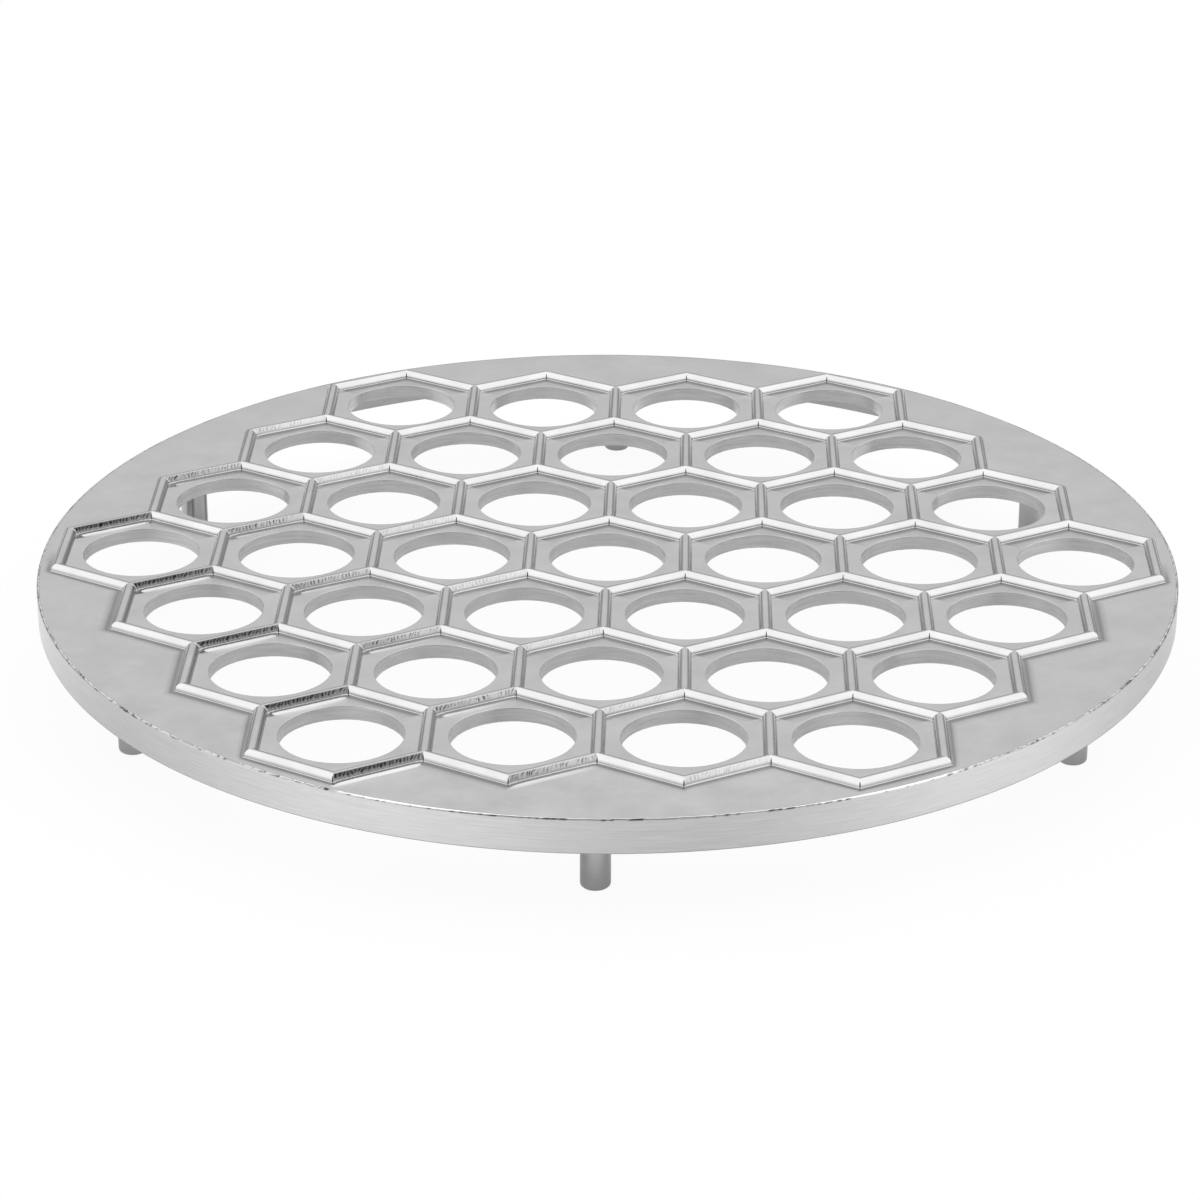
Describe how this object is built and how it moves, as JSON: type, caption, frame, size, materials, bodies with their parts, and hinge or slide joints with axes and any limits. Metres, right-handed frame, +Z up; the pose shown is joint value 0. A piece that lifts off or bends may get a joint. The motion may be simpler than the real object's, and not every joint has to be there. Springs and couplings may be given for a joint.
{
  "type": "pelmeni mold",
  "caption": "Round cast aluminium dumpling mould: a plate with a honeycomb of ridges round through holes, a rim and short legs.",
  "frame": {"origin": "on the table, under the middle of the plate", "axes": "+Z up through the plate, +X to the right and -Y towards the viewer as in the picture"},
  "size_m": [0.2436, 0.2436, 0.0212],
  "materials": {
    "cast_aluminium": "satin, tumbled casting with a turned rim"
  },
  "bodies": {
    "root": {"mold": "cast_aluminium"}
  },
  "joints": []
}
